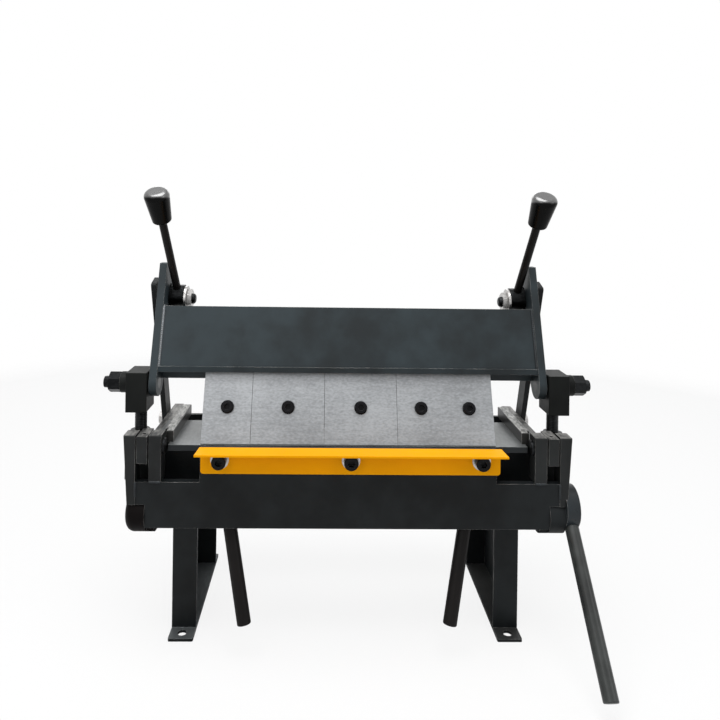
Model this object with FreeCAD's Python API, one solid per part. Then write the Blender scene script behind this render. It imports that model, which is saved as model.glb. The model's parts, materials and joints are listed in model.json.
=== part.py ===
import FreeCAD, Part
import math
import os

# Bench box and pan brake, 12 inch class, in millimetres.
# The machine is laid out from its bend line: X runs along the line to the user's right,
# Y runs away from the user and Z runs up from the top face of the bed.
# Each finished piece is then moved so that the feet stand on Z = 0
# and the origin lies in the middle of the four foot holes.

inch = 25.4
running_fit = 0.05
joint_gap = 0.3
same = 1e-6
cut_past = 1.0
along_x = FreeCAD.Vector(1, 0, 0)
along_y = FreeCAD.Vector(0, 1, 0)
along_z = FreeCAD.Vector(0, 0, 1)

# Fasteners: shank diameter, head or nut across flats, and thickness
m8_shank = 8.0
m8_cap_diameter = 13.0
m8_cap_height = 8.0
m8_flats = 13.0
m8_head_thickness = 5.5
m8_nut_thickness = 6.5
m8_thread_past_nut = 2.0
socket_flats_share = 0.46
socket_depth_share = 0.5
m12_shank = 12.0
m12_nut_flats = 19.0
m12_nut_thickness = 12.0
m12_jam_nut_thickness = 6.0
bolt_hole_clearance = 0.5
nut_chamfer = 0.8

# Bed
bed_height = 208.0
bed_thickness = 6.0
bed_front = 2.0
bed_depth = 79.5
bed_corner_notch = 17.0
bed_hinge_gap = 1.2
bed_beam_front = 30.0
bed_beam_depth = 44.0
bed_beam_height = 44.0
bed_beam_wall = 4.0
rear_plate_front = 122.0
rear_plate_wall = 5.0
rear_plate_shelf = 34.0
rail_inner = 181.8
rail_width = 10.2
rail_front = 10.4
rail_lug_gap = 0.6
rail_height = 11.8
rail_overhang = 22.0
rail_corner = 1.0

# Side blocks, which carry the hinge ears, the studs and the uprights
ear_inner = 204.0
ear_width = 10.6
ear_front = 9.0
ear_top = 12.0
ear_bottom = 15.5
oil_hole_diameter = 4.0
block_outer = 234.0
block_front = 17.0
block_depth = 27.0
block_top = 1.0
block_drop = 42.0
rear_arm_drop = 46.0
rear_arm_top = 6.0
rear_arm_wall = 11.0
rear_arm_end = 166.0

# Studs and pivot blocks
stud_x = 221.0
stud_y = 30.0
stud_depth_in_block = 37.0
pivot_height = 57.0
pivot_block_inner = 211.5
pivot_block_width = 22.0
pivot_block_depth = 32.0
pivot_block_bottom = 28.8
pivot_block_top = 70.4
pivot_boss_diameter = 22.0
pivot_boss_length = 8.0
pivot_boss_gap = 0.5
pivot_pin_tail = 6.0
stud_top_gap = 5.0
stud_bore_gap = 2.0
height_travel = 2.0

# Uprights and cam pins
upright_wall = 6.0
upright_width = 20.0
upright_lean = 19.8
upright_above_pin = 22.6
upright_corner = 3.0
upright_bolt_height = (-32.0, -14.0)
cam_pin_y = 79.0
cam_pin_z = 140.0
cam_pin_diameter = 12.0
cam_pin_dome = 3.5
cam_spacer_diameter = 18.0
cam_washer_diameter = 29.0
cam_washer_wall = 2.5
cam_nut_flats = 19.0
cam_nut_thickness = 5.5
cam_pin_tail = 4.0

# Legs, bent from sheet: a web outside, two strips, a top flange and a floor plate with two feet
leg_wall = 3.0
leg_inner = 159.5
leg_width = 26.0
leg_front = 30.0
leg_depth = 131.0
leg_bolt_y = (56.0, 145.0)
foot_length = 19.0
foot_hole_setback = 10.0
foot_hole_diameter = 9.0
foot_corner = 1.5

# Clamping beam
beam_lean = 18.9
arm_inner = 202.0
arm_wall = 8.0
arm_top = 182.0
arm_tip = 13.0
arm_pin_radius = 14.5
arm_cam_radius = 20.0
arm_tip_round = 1.0
beam_plate_wall = 8.0
beam_plate_bottom = 74.7
beam_plate_top = 136.6
beam_plate_inset = 2.0
sole_wall = 10.0
sole_behind_fingers = 1.2
sole_bottom = 58.4
sole_top = 76.0
sole_shelf = 6.0

# Fingers
finger_inches = (2, 3, 3, 4)
finger_lean = 21.0
finger_length = 73.0
finger_wall = 12.0
finger_seam = 0.3
nose_gap = 0.4
finger_screw_rise = 37.0
finger_screw_bore = 4.0
finger_screw_length = 20.0
long_finger_screw_spacing = 50.8
finger_rail_wall = 12.0
finger_rail_inset = 2.8
finger_rail_bottom = 12.0
nose_setback = 3.6

# Clamp levers
cam_throw = 3.57
cam_half_turn = 45.0
cam_journal_radius = 11.0
cam_hub_radius = 12.5
cam_hub_length = 16.0
cam_slot_side_play = 1.06
cam_slot_end_play = 0.4
cam_slot_corner = 6.0
lever_lean = 32.0
lever_splay = 3.8
knob_start = 101.3
lever_rod_diameter = 8.6
lever_rod_seat = 7.5
knob_length = 37.0
knob_dome = 6.5
knob_base_diameter = 20.0
knob_top_diameter = 26.4
knob_base_round = 2.5
knob_rod_depth = 20.0

# Apron, the leaf that swings up to make the bend
apron_back = 0.5
apron_wall = 8.0
apron_depth = 80.5
apron_half = 206.2
apron_centre_half = 151.0
apron_ledge = 34.0
apron_tab_bottom = 57.0
arm_and_lug_half_depth = 9.0
arm_and_lug_top = 13.0
arm_and_lug_round = 1.5
outer_arm_inner = 216.0
outer_arm_wall = 12.0
outer_arm_taper = 4.0
inner_lug_inner = 190.0
inner_lug_wall = 12.4
hinge_shank = 10.0
hinge_head_diameter = 16.0
hinge_head_height = 3.2
hinge_head_round = 1.2
hinge_end_recess = 1.5
corner_boss_inner = 198.0
corner_boss_outer = 222.5
corner_boss_radius = 20.5
left_boss_outer = 227.0
left_boss_round = 9.0
corner_boss_y = 10.0
corner_boss_z = -70.0
handle_hub_length = 14.0
handle_hub_radius = 21.7
handle_hub_y = 8.0
handle_hub_z = -63.0
handle_stub_diameter = 10.0
handle_stub_length = 12.0
handle_spigot_diameter = 8.0
handle_hub_chamfer = 1.2
bending_handle_diameter = 14.0
bending_handle_reach = 166.0
bending_handle_lean = 41.0
bending_handle_seat = 10.0
handle_end_chamfer = 1.2
pull_handle_diameter = 14.0
pull_handle_x = 122.6
pull_handle_y = 8.0
pull_handle_lean = 15.0
pull_handle_toe = 12.0
pull_handle_below_plate = 97.0
pull_handle_seat = 20.0
socket_width = 24.0
socket_depth = 23.0
socket_height = 24.0
socket_edge = 1.0
socket_edge_height = 2.5

# Guard angle on the apron's front face
guard_half = 153.5
guard_shift = 2.0
guard_flange = 22.0
guard_leg = 26.0
guard_wall = 2.0
guard_rise = 1.5
guard_corner = 3.0
guard_flare = 1.5
guard_leg_inset = 1.5
guard_screw_inset = 21.0
guard_screw_drop = 10.0
guard_screw_shank = 10.0
guard_screw_head = 14.5
guard_screw_head_height = 9.0
guard_washer_diameter = 18.5
guard_washer_wall = 1.6
guard_screw_length = 12.0


def point(x, y, z):
    return FreeCAD.Vector(x, y, z)


def box(x0, x1, y0, y1, z0, z1):
    return Part.makeBox(x1 - x0, y1 - y0, z1 - z0, point(x0, y0, z0))


def rod(diameter, start, end):
    """Round bar between two points."""
    way = end - start
    return Part.makeCylinder(diameter / 2, way.Length, start, way)


def rod_along_x(diameter, x0, x1, y, z):
    return rod(diameter, point(x0, y, z), point(x1, y, z))


def extrude_along_x(outline, x0, x1):
    """Plate whose outline is a list of (y, z) corners, between two stations along X."""
    corners = [point(x0, y, z) for y, z in outline]
    face = Part.Face(Part.makePolygon(corners + corners[:1]))
    return face.extrude(along_x * (x1 - x0))


def extrude_along_y(outline, y0, y1):
    """Plate whose outline is a list of (x, z) corners, between two stations along Y."""
    corners = [point(x, y0, z) for x, z in outline]
    face = Part.Face(Part.makePolygon(corners + corners[:1]))
    return face.extrude(along_y * (y1 - y0))


def extrude_along_z(outline, z0, z1):
    """Plate whose outline is a list of (x, y) corners, between two heights."""
    corners = [point(x, y, z0) for x, y in outline]
    face = Part.Face(Part.makePolygon(corners + corners[:1]))
    return face.extrude(along_z * (z1 - z0))


def tangent_angle(first, second):
    """Direction of the outward normal of the belt that runs from one disc to the next."""
    (y0, z0, r0), (y1, z1, r1) = first, second
    run = math.hypot(y1 - y0, z1 - z0)
    heading = math.atan2(z1 - z0, y1 - y0)
    return heading - math.acos((r0 - r1) / run)


def on_disc(disc, angle):
    y, z, radius = disc
    return point(0, y + radius * math.cos(angle), z + radius * math.sin(angle))


def belt_plate(discs, x0, x1):
    """Plate with the outline of a belt round discs (y, z, radius), listed anticlockwise."""
    edges = []
    for index, disc in enumerate(discs):
        following = discs[(index + 1) % len(discs)]
        arriving = tangent_angle(discs[index - 1], disc)
        leaving = tangent_angle(disc, following)
        sweep = (leaving - arriving) % math.tau
        arc = Part.Arc(on_disc(disc, arriving), on_disc(disc, arriving + sweep / 2), on_disc(disc, leaving))
        edges.append(arc.toShape())
        edges.append(Part.makeLine(on_disc(disc, leaving), on_disc(following, leaving)))
    face = Part.Face(Part.Wire(edges))
    face.translate(along_x * x0)
    return face.extrude(along_x * (x1 - x0))


def turned(profile, start, way):
    """Solid of revolution; profile holds (distance along the axis, radius) pairs."""
    corners = [point(radius, 0, along) for along, radius in profile]
    closed = [point(0, 0, profile[0][0])] + corners + [point(0, 0, profile[-1][0])]
    face = Part.Face(Part.makePolygon(closed + closed[:1]))
    solid = face.revolve(point(0, 0, 0), along_z, 360)
    turn = FreeCAD.Rotation(along_z, way)
    solid.Placement = FreeCAD.Placement(start, turn)
    return solid


def hexagon(flats, length, start, way):
    """Hexagonal bar with its corners chamfered at both ends."""
    reach = flats / math.sqrt(3)
    corners = []
    for step in range(7):
        angle = math.radians(60 * step)
        corners.append(point(reach * math.cos(angle), reach * math.sin(angle), 0))
    bar = Part.Face(Part.makePolygon(corners)).extrude(along_z * length)
    turn = FreeCAD.Placement(start, FreeCAD.Rotation(along_z, way))
    bar.Placement = turn
    edge = reach - nut_chamfer
    rise = nut_chamfer / 2
    barrel = turned([(0, edge), (rise, reach), (length - rise, reach), (length, edge)], start, way)
    return bar.common(barrel)


def hex_nut(flats, thickness, bore, start, way):
    unit = FreeCAD.Vector(way).normalize()
    nut = hexagon(flats, thickness, start, way)
    return nut.cut(rod(bore, start - unit * cut_past, start + unit * (thickness + cut_past)))


def washer(outer, bore, wall, start, way):
    unit = FreeCAD.Vector(way).normalize()
    disc = rod(outer, start, start + unit * wall)
    return disc.cut(rod(bore, start - unit * cut_past, start + unit * (wall + cut_past)))


def socket_screw(shank, head, height, seat, way, length):
    """Cap screw; seat is the middle of the head's underside and way points to its tip."""
    unit = FreeCAD.Vector(way).normalize()
    rim = [(-height, head / 2 - nut_chamfer), (nut_chamfer - height, head / 2), (0, head / 2)]
    cap = turned(rim, seat, unit)
    crown = seat - unit * height
    depth = height * socket_depth_share + cut_past
    key = hexagon(head * socket_flats_share, depth, crown - unit * cut_past, unit)
    stem = rod(shank, seat, seat + unit * length)
    return cap.cut(key).fuse(stem)


def hex_bolt(seat, way, length):
    """M8 bolt; seat is the middle of the head's underside and way points to its tip."""
    unit = FreeCAD.Vector(way).normalize()
    head = hexagon(m8_flats, m8_head_thickness, seat - unit * m8_head_thickness, unit)
    return head.fuse(rod(m8_shank, seat, seat + unit * length))


def rounded(shape, radius, chosen):
    """Fillet the edges whose middle point passes the test."""
    edges = []
    for edge in shape.Edges:
        middle = edge.valueAt((edge.FirstParameter + edge.LastParameter) / 2)
        if chosen(edge, middle):
            edges.append(edge)
    return shape.makeFillet(radius, edges)


def runs_along(edge, way):
    if edge.Curve.TypeId != "Part::GeomLine":
        return False
    return abs(abs(edge.Curve.Direction.dot(way)) - 1) < same


def mirrored(shape):
    return shape.mirror(point(0, 0, 0), along_x)


def together(shapes):
    return Part.makeCompound(shapes)


def joined(shapes):
    """One solid from pieces that touch or overlap."""
    whole = shapes[0]
    for shape in shapes[1:]:
        whole = whole.fuse(shape)
    return whole.removeSplitter()


# Heights and places that follow from the sizes above
beam_bottom = -bed_thickness - bed_beam_height
leg_middle = leg_inner + leg_width / 2
leg_back = leg_front + leg_depth
hinge_head_inner = inner_lug_inner - hinge_head_height
bed_front_half = hinge_head_inner - bed_hinge_gap
stud_top = pivot_height - m12_shank / 2 - stud_top_gap
cam_pin = (cam_pin_y, cam_pin_z)


def leg():
    """Bent sheet leg, open towards the middle of the machine, with a foot in front and one behind."""
    outer = leg_inner + leg_width
    strip = leg_front + leg_wall
    web = box(outer - leg_wall, outer, leg_front, leg_back, -bed_height, beam_bottom)
    front = box(leg_inner, outer, leg_front, strip, -bed_height, beam_bottom)
    rear = box(leg_inner, outer, leg_back - leg_wall, leg_back, -bed_height, beam_bottom)
    top = box(leg_inner, outer, leg_front, leg_back, beam_bottom - leg_wall, beam_bottom)
    floor = box(leg_inner, outer, leg_front, leg_back, -bed_height, leg_wall - bed_height)
    shape = joined([web, front, rear, top, floor, foot(-1), foot(1)])
    for y in leg_bolt_y:
        shape = shape.cut(rod_along_z(m8_shank, leg_middle, y, beam_bottom - leg_wall, beam_bottom))
    return shape


def foot_edges(side):
    """Near and far Y of a foot; side is -1 in front and 1 behind."""
    near = leg_front if side < 0 else leg_back
    return near, near + side * foot_length


def foot_hole_y(side):
    return foot_edges(side)[1] - side * foot_hole_setback


def foot(side):
    low, high = sorted(foot_edges(side))
    plate = box(leg_inner, leg_inner + leg_width, low, high, -bed_height, leg_wall - bed_height)
    free_end = foot_edges(side)[1]
    plate = rounded(plate, foot_corner, lambda edge, middle: runs_along(edge, along_z)
                    and abs(middle.y - free_end) < same)
    hole = rod_along_z(foot_hole_diameter + bolt_hole_clearance, leg_middle, foot_hole_y(side),
                       -bed_height - cut_past, leg_wall - bed_height + cut_past)
    return plate.cut(hole)


def rod_along_z(diameter, x, y, z0, z1):
    return rod(diameter, point(x, y, z0), point(x, y, z1))


def leg_bolts():
    """Bolts from under the legs' top flanges, one into the bed beam and one into the rear plate."""
    walls = (bed_beam_wall, rear_plate_wall)
    bolts = []
    for y, wall in zip(leg_bolt_y, walls):
        length = leg_wall + wall + m8_nut_thickness + m8_thread_past_nut
        bolts.append(hex_bolt(point(leg_middle, y, beam_bottom - leg_wall), along_z, length))
    return bolts


def leg_nuts():
    walls = (bed_beam_wall, rear_plate_wall)
    nuts = []
    for y, wall in zip(leg_bolt_y, walls):
        seat = point(leg_middle, y, beam_bottom + wall)
        nuts.append(hex_nut(m8_flats, m8_nut_thickness, m8_shank, seat, along_z))
    return nuts


def bed_plate():
    bed_back = bed_front + bed_depth
    wide = box(-ear_inner, ear_inner, bed_corner_notch, bed_back, -bed_thickness, 0)
    front = box(-bed_front_half, bed_front_half, bed_front, bed_corner_notch, -bed_thickness, 0)
    return joined([wide, front])


def bed_beam():
    """Channel under the bed plate, open to the back."""
    back = bed_beam_front + bed_beam_depth
    outside = box(-ear_inner, ear_inner, bed_beam_front, back, beam_bottom, -bed_thickness)
    hollow = box(-ear_inner, ear_inner, bed_beam_front + bed_beam_wall, back,
                 beam_bottom + bed_beam_wall, -bed_thickness - bed_beam_wall)
    beam = outside.cut(hollow)
    for x in (-leg_middle, leg_middle):
        beam = beam.cut(rod_along_z(m8_shank, x, leg_bolt_y[0], beam_bottom, beam_bottom + bed_beam_wall))
    return beam


def rear_cross_plate():
    """Angle across the back of the frame; its low shelf sits on the legs."""
    back = rear_plate_front + rear_plate_wall
    upright_part = box(-ear_inner, ear_inner, rear_plate_front, back, beam_bottom, -bed_thickness)
    shelf = box(-ear_inner, ear_inner, rear_plate_front, back + rear_plate_shelf,
                beam_bottom, beam_bottom + rear_plate_wall)
    plate = joined([upright_part, shelf])
    for x in (-leg_middle, leg_middle):
        plate = plate.cut(rod_along_z(m8_shank, x, leg_bolt_y[1], beam_bottom, beam_bottom + rear_plate_wall))
    return plate


def bed_rail():
    back = bed_front + bed_depth + rail_overhang
    wide = box(rail_inner, rail_inner + rail_width, bed_corner_notch, back, 0, rail_height)
    nose = box(rail_inner, inner_lug_inner - rail_lug_gap, rail_front, bed_corner_notch, 0, rail_height)
    rail = joined([wide, nose])
    return rounded(rail, rail_corner, lambda edge, middle: middle.z > rail_height - same)


def side_block():
    """Hinge ear in front, block under the stud, and a flat arm that runs back to the upright."""
    block_back = block_front + block_depth
    ear = box(ear_inner, ear_inner + ear_width, -ear_front, block_front, -ear_bottom, ear_top)
    block = box(ear_inner, block_outer, block_front, block_back, -block_drop, block_top)
    arm = box(ear_inner, ear_inner + rear_arm_wall, block_front, rear_arm_end, -rear_arm_drop, -rear_arm_top)
    shape = joined([ear, block, arm])
    ear_middle = ear_inner + ear_width / 2
    shape = shape.cut(rod_along_x(hinge_shank + 2 * running_fit, ear_inner, ear_inner + ear_width, 0, 0))
    shape = shape.cut(rod_along_z(oil_hole_diameter, ear_middle, 0, 0, ear_top))
    shape = shape.cut(adjusting_stud())
    for bolt in upright_bolts():
        shape = shape.cut(bolt)
    return shape


def adjusting_stud():
    stud = rod_along_z(m12_shank, stud_x, stud_y, block_top - stud_depth_in_block, stud_top)
    return rounded(stud, nut_chamfer, lambda edge, middle: middle.z > stud_top - same)


def stud_nut():
    seat = point(stud_x, stud_y, block_top)
    return hex_nut(m12_nut_flats, m12_jam_nut_thickness, m12_shank, seat, along_z)


def upright_y(z):
    """Centre line of the upright, which leans forward as it rises to the cam pin."""
    return cam_pin_y + (cam_pin_z - z) * math.tan(math.radians(upright_lean))


def upright():
    lean = math.radians(upright_lean)
    half = upright_width / 2
    rise_y, rise_z = -math.sin(lean) * upright_above_pin, math.cos(lean) * upright_above_pin
    side_y, side_z = math.cos(lean) * half, math.sin(lean) * half
    top_y, top_z = cam_pin_y + rise_y, cam_pin_z + rise_z
    foot_y, foot_half = upright_y(-rear_arm_drop), half / math.cos(lean)
    outline = [(foot_y - foot_half, -rear_arm_drop), (foot_y + foot_half, -rear_arm_drop),
               (top_y + side_y, top_z + side_z), (top_y - side_y, top_z - side_z)]
    inner = ear_inner + rear_arm_wall
    bar = extrude_along_x(outline, inner, inner + upright_wall)
    bar = rounded(bar, upright_corner, lambda edge, middle: runs_along(edge, along_x)
                  and middle.z > cam_pin_z)
    bar = bar.cut(cam_pin_rod())
    for bolt in upright_bolts():
        bar = bar.cut(bolt)
    return bar


def upright_bolts():
    outer = ear_inner + rear_arm_wall + upright_wall
    length = rear_arm_wall + upright_wall + m8_nut_thickness + m8_thread_past_nut
    return [hex_bolt(point(outer, upright_y(z), z), -along_x, length) for z in upright_bolt_height]


def upright_nuts():
    seats = [point(ear_inner, upright_y(z), z) for z in upright_bolt_height]
    return [hex_nut(m8_flats, m8_nut_thickness, m8_shank, seat, -along_x) for seat in seats]


def cam_washer_inner():
    return cam_hub_inner() - joint_gap - cam_washer_wall


def cam_hub_inner():
    return arm_inner - joint_gap - cam_hub_length


def cam_pin_rod():
    """Pin through upright, spacer, cam, washer and nut, with a domed inner end."""
    inner = cam_washer_inner() - cam_nut_thickness - cam_pin_tail
    outer = ear_inner + rear_arm_wall + upright_wall
    pin = rod_along_x(cam_pin_diameter, inner, outer, *cam_pin)
    return rounded(pin, cam_pin_dome, lambda edge, middle: middle.x < inner + same)


def cam_spacer():
    inner = arm_inner + arm_wall + 2 * joint_gap
    seat = point(inner, *cam_pin)
    length = ear_inner + rear_arm_wall - inner
    return washer(cam_spacer_diameter, cam_pin_diameter, length, seat, along_x)


def cam_washer():
    seat = point(cam_washer_inner(), *cam_pin)
    return washer(cam_washer_diameter, cam_pin_diameter, cam_washer_wall, seat, along_x)


def cam_nut():
    seat = point(cam_washer_inner(), *cam_pin)
    return hex_nut(cam_nut_flats, cam_nut_thickness, cam_pin_diameter, seat, -along_x)


# Clamping beam, pivot blocks and levers
pivot = (stud_y, pivot_height)
beam_tan = math.tan(math.radians(beam_lean))
beam_cos = math.cos(math.radians(beam_lean))
finger_sin = math.sin(math.radians(finger_lean))
finger_cos = math.cos(math.radians(finger_lean))
pin_to_cam = math.hypot(cam_pin_y - stud_y, cam_pin_z - pivot_height)
up_y = (cam_pin_y - stud_y) / pin_to_cam
up_z = (cam_pin_z - pivot_height) / pin_to_cam
throw_side = cam_throw * math.sin(math.radians(cam_half_turn))
throw_up = cam_throw * math.cos(math.radians(cam_half_turn))


def pivot_block():
    """Block that rises on the stud and carries the beam's pivot pin, with a round boss outside."""
    half = pivot_block_depth / 2
    outer = pivot_block_inner + pivot_block_width
    block = box(pivot_block_inner, outer, stud_y - half, stud_y + half, pivot_block_bottom, pivot_block_top)
    block = rounded(block, nut_chamfer, lambda edge, middle: True)
    boss = rod_along_x(pivot_boss_diameter, outer, outer + pivot_boss_length, *pivot)
    shape = joined([block, boss])
    bore = m12_shank + 2 * running_fit
    shape = shape.cut(rod_along_x(bore, pivot_block_inner, outer + pivot_boss_length, *pivot))
    return shape.cut(rod_along_z(bore, stud_x, stud_y, pivot_block_bottom, stud_top + stud_bore_gap))


def pivot_nut_inner():
    return pivot_block_inner + pivot_block_width + pivot_boss_length + pivot_boss_gap


def pivot_pin():
    outer = pivot_nut_inner() + m12_nut_thickness + pivot_pin_tail
    pin = rod_along_x(m12_shank, arm_inner, outer, *pivot)
    return rounded(pin, nut_chamfer, lambda edge, middle: middle.x > outer - same)


def pivot_nut():
    seat = point(pivot_nut_inner(), *pivot)
    return hex_nut(m12_nut_flats, m12_nut_thickness, m12_shank, seat, along_x)


def front_edge_y(z, inset):
    """The sloping front of the beam, set back from the line that touches the arm's lower end."""
    return stud_y + (z - pivot_height) * beam_tan - (arm_pin_radius - inset) / beam_cos


def cam_slot():
    """Slot for the cam journal, long enough for the beam's height adjustment."""
    rise_side = -height_travel * math.sin(math.atan2(up_y, up_z))
    rise_up = height_travel * math.cos(math.atan2(up_y, up_z))
    journal_side = -throw_side - rise_side / 2
    journal_up = (throw_up + cam_throw - rise_up) / 2
    half_side = cam_journal_radius + cam_slot_side_play
    half_up = cam_journal_radius + (cam_throw - throw_up + rise_up) / 2 + cam_slot_end_play
    discs = []
    for side, up in ((-1, -1), (1, -1), (1, 1), (-1, 1)):
        across = journal_side + side * (half_side - cam_slot_corner)
        along = journal_up + up * (half_up - cam_slot_corner)
        y = cam_pin_y + along * up_y + across * up_z
        z = cam_pin_z + along * up_z - across * up_y
        discs.append((y, z, cam_slot_corner))
    return belt_plate(discs, arm_inner, arm_inner + arm_wall)


def beam_arm():
    """Side arm: a belt round the pivot end, the cam end and the narrow tip."""
    tip_front = front_edge_y(arm_top, 0) + arm_tip_round
    tip_z = arm_top - arm_tip_round
    tip_back = tip_front + arm_tip - 2 * arm_tip_round
    discs = [(*pivot, arm_pin_radius), (*cam_pin, arm_cam_radius),
             (tip_back, tip_z, arm_tip_round), (tip_front, tip_z, arm_tip_round)]
    arm = belt_plate(discs, arm_inner, arm_inner + arm_wall)
    arm = arm.cut(cam_slot())
    return arm.cut(pivot_pin())


def beam_plate():
    """Sloping front plate between the arms."""
    low = (front_edge_y(beam_plate_bottom, beam_plate_inset), beam_plate_bottom)
    high = (front_edge_y(beam_plate_top, beam_plate_inset), beam_plate_top)
    back_y, back_z = beam_plate_wall * beam_cos, -beam_plate_wall * beam_tan * beam_cos
    outline = [low, (low[0] + back_y, low[1] + back_z), (high[0] + back_y, high[1] + back_z), high]
    return extrude_along_x(outline, -arm_inner, arm_inner)


def beam_sole():
    """Angle behind the plate; its upright leg presses on the finger rail."""
    front = front_edge_y(sole_top - sole_shelf, beam_plate_inset)
    leg_front_y = on_finger(finger_length, finger_wall)[0] + sole_behind_fingers
    back = leg_front_y + sole_wall
    outline = [(front, sole_top - sole_shelf), (leg_front_y, sole_top - sole_shelf), (leg_front_y, sole_bottom),
               (back, sole_bottom), (back, sole_top), (front, sole_top)]
    sole = extrude_along_x(outline, -arm_inner, arm_inner)
    plate = beam_plate()
    in_front = box(-arm_inner, arm_inner, 0, front + same, 0, arm_top)
    return max(sole.cut(plate).cut(in_front).Solids, key=lambda solid: solid.Volume)


def on_finger(along, depth):
    """Point (y, z) at a distance up the finger's face and a depth behind it."""
    y = nose_setback + along * finger_sin + depth * finger_cos
    z = nose_gap + along * finger_cos - depth * finger_sin
    return y, z


def behind_face(z, depth):
    """Y at height z on the plane that lies a depth behind the finger's face."""
    return nose_setback + (z - nose_gap) * finger_sin / finger_cos + depth / finger_cos


def fingers_half():
    return (sum(finger_inches) * inch + finger_seam * (len(finger_inches) - 1)) / 2


def finger_edges():
    """Left edge and width of each finger, from the left."""
    left = -fingers_half()
    edges = []
    for size in finger_inches:
        edges.append((left, size * inch))
        left += size * inch + finger_seam
    return edges


def screw_places(number):
    """X of the screws that hold one finger; the widest finger has two."""
    left, width = finger_edges()[number]
    middle = left + width / 2
    if finger_inches[number] < max(finger_inches):
        return [middle]
    half = long_finger_screw_spacing / 2
    return [middle - half, middle + half]


def finger_screw(x):
    y, z = on_finger(finger_screw_rise, finger_screw_bore)
    into = point(0, finger_cos, -finger_sin)
    return socket_screw(m8_shank, m8_cap_diameter, m8_cap_height, point(x, y, z), into, finger_screw_length)


def finger_screws():
    return [finger_screw(x) for number in range(len(finger_inches)) for x in screw_places(number)]


def finger(number):
    left, width = finger_edges()[number]
    outline = [on_finger(0, 0), (behind_face(nose_gap, finger_wall), nose_gap),
               on_finger(finger_length, finger_wall), on_finger(finger_length, 0)]
    block = extrude_along_x(outline, left, left + width)
    into = point(0, finger_cos, -finger_sin)
    for x in screw_places(number):
        seat = point(x, *on_finger(finger_screw_rise, finger_screw_bore))
        mouth = point(x, *on_finger(finger_screw_rise, -1))
        block = block.cut(rod(m8_cap_diameter + bolt_hole_clearance, mouth, seat))
        block = block.cut(rod(m8_shank + bolt_hole_clearance, seat, seat + into * finger_wall))
    return block


def finger_rail():
    """Sloping bar behind the fingers that their screws are driven into."""
    near, far = finger_wall, finger_wall + finger_rail_wall
    low, high = finger_rail_bottom, sole_bottom
    outline = [(behind_face(low, near), low), (behind_face(low, far), low),
               (behind_face(high, far), high), (behind_face(high, near), high)]
    rail_half = fingers_half() - finger_rail_inset
    rail = extrude_along_x(outline, -rail_half, rail_half)
    for screw in finger_screws():
        rail = rail.cut(screw)
    return rail


def journal_centre():
    """Centre of the eccentric journal with the lever forward and the beam clamped."""
    y = cam_pin_y + throw_up * up_y - throw_side * up_z
    z = cam_pin_z + throw_up * up_z + throw_side * up_y
    return y, z


def cam_hub():
    """Eccentric hub; its thinner end is the journal that works in the arm's slot."""
    inner = cam_hub_inner()
    seat = inner + cam_hub_length
    outer = arm_inner + arm_wall + joint_gap
    hub = rod_along_x(2 * cam_hub_radius, inner, seat, *journal_centre())
    hub = rounded(hub, nut_chamfer, lambda edge, middle: middle.x < inner + same)
    journal = rod_along_x(2 * cam_journal_radius, seat, outer, *journal_centre())
    shape = joined([hub, journal])
    shape = shape.cut(rod_along_x(cam_pin_diameter + 2 * running_fit, inner, outer, *cam_pin))
    return shape.cut(lever_rod())


def lever_way():
    lean, splay = math.radians(lever_lean), math.radians(lever_splay)
    return point(math.sin(splay), -math.sin(lean) * math.cos(splay), math.cos(lean) * math.cos(splay))


def on_lever(along):
    start = point(cam_hub_inner() + lever_rod_seat, *journal_centre())
    return start + lever_way() * along


def lever_rod():
    bottom = cam_hub_radius / 2 + nut_chamfer
    return rod(lever_rod_diameter, on_lever(bottom), on_lever(knob_start + knob_rod_depth))


def knob():
    """Tapered grip with a domed top."""
    swell = knob_length - knob_dome
    profile = [(0, knob_base_diameter / 2), (swell, knob_top_diameter / 2),
               (knob_length, knob_top_diameter / 2)]
    grip = turned(profile, on_lever(knob_start), lever_way())
    top = on_lever(knob_start + knob_length)
    base = on_lever(knob_start)
    dome = knob_dome - nut_chamfer
    grip = rounded(grip, dome, lambda edge, middle: ring_at(edge, top))
    grip = rounded(grip, knob_base_round, lambda edge, middle: ring_at(edge, base))
    return grip.cut(lever_rod())


def ring_at(edge, centre):
    if edge.Curve.TypeId != "Part::GeomCircle":
        return False
    return edge.Curve.Center.distanceToPoint(centre) < same


# Apron
def lean_in_side_view(degrees):
    """Unit direction that points down and forward."""
    return point(0, -math.sin(math.radians(degrees)), -math.cos(math.radians(degrees)))


def apron_front():
    return -apron_back - apron_wall


def apron_plate():
    """Bending leaf: full height between the lugs, a ledge under them and a tab behind each arm."""
    right = [(apron_half, -apron_depth), (apron_half, -apron_tab_bottom), (outer_arm_inner, -apron_tab_bottom),
             (outer_arm_inner, -apron_ledge), (apron_centre_half, -apron_ledge), (apron_centre_half, 0)]
    left = [(-x, z) for x, z in reversed(right)]
    plate = extrude_along_y(right + left, apron_front(), -apron_back)
    for screw in guard_screws():
        plate = plate.cut(screw)
    return plate


def apron_arm():
    """Outer arm of the hinge fork, thinner towards its lower end."""
    outer = outer_arm_inner + outer_arm_wall
    outline = [(outer_arm_inner, arm_and_lug_top), (outer_arm_inner, -apron_tab_bottom),
               (outer - outer_arm_taper, -apron_tab_bottom), (outer, arm_and_lug_top)]
    arm = extrude_along_y(outline, -arm_and_lug_half_depth, arm_and_lug_half_depth)
    arm = rounded(arm, arm_and_lug_round, lambda edge, middle: middle.z > arm_and_lug_top - same
                  and runs_along(edge, along_x))
    return arm.cut(hinge_bolt())


def apron_lug():
    lug = box(inner_lug_inner, inner_lug_inner + inner_lug_wall, -arm_and_lug_half_depth,
              arm_and_lug_half_depth, -apron_ledge, arm_and_lug_top)
    lug = rounded(lug, arm_and_lug_round, lambda edge, middle: middle.z > arm_and_lug_top - same
                  and runs_along(edge, along_x))
    return lug.cut(hinge_bolt())


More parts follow.
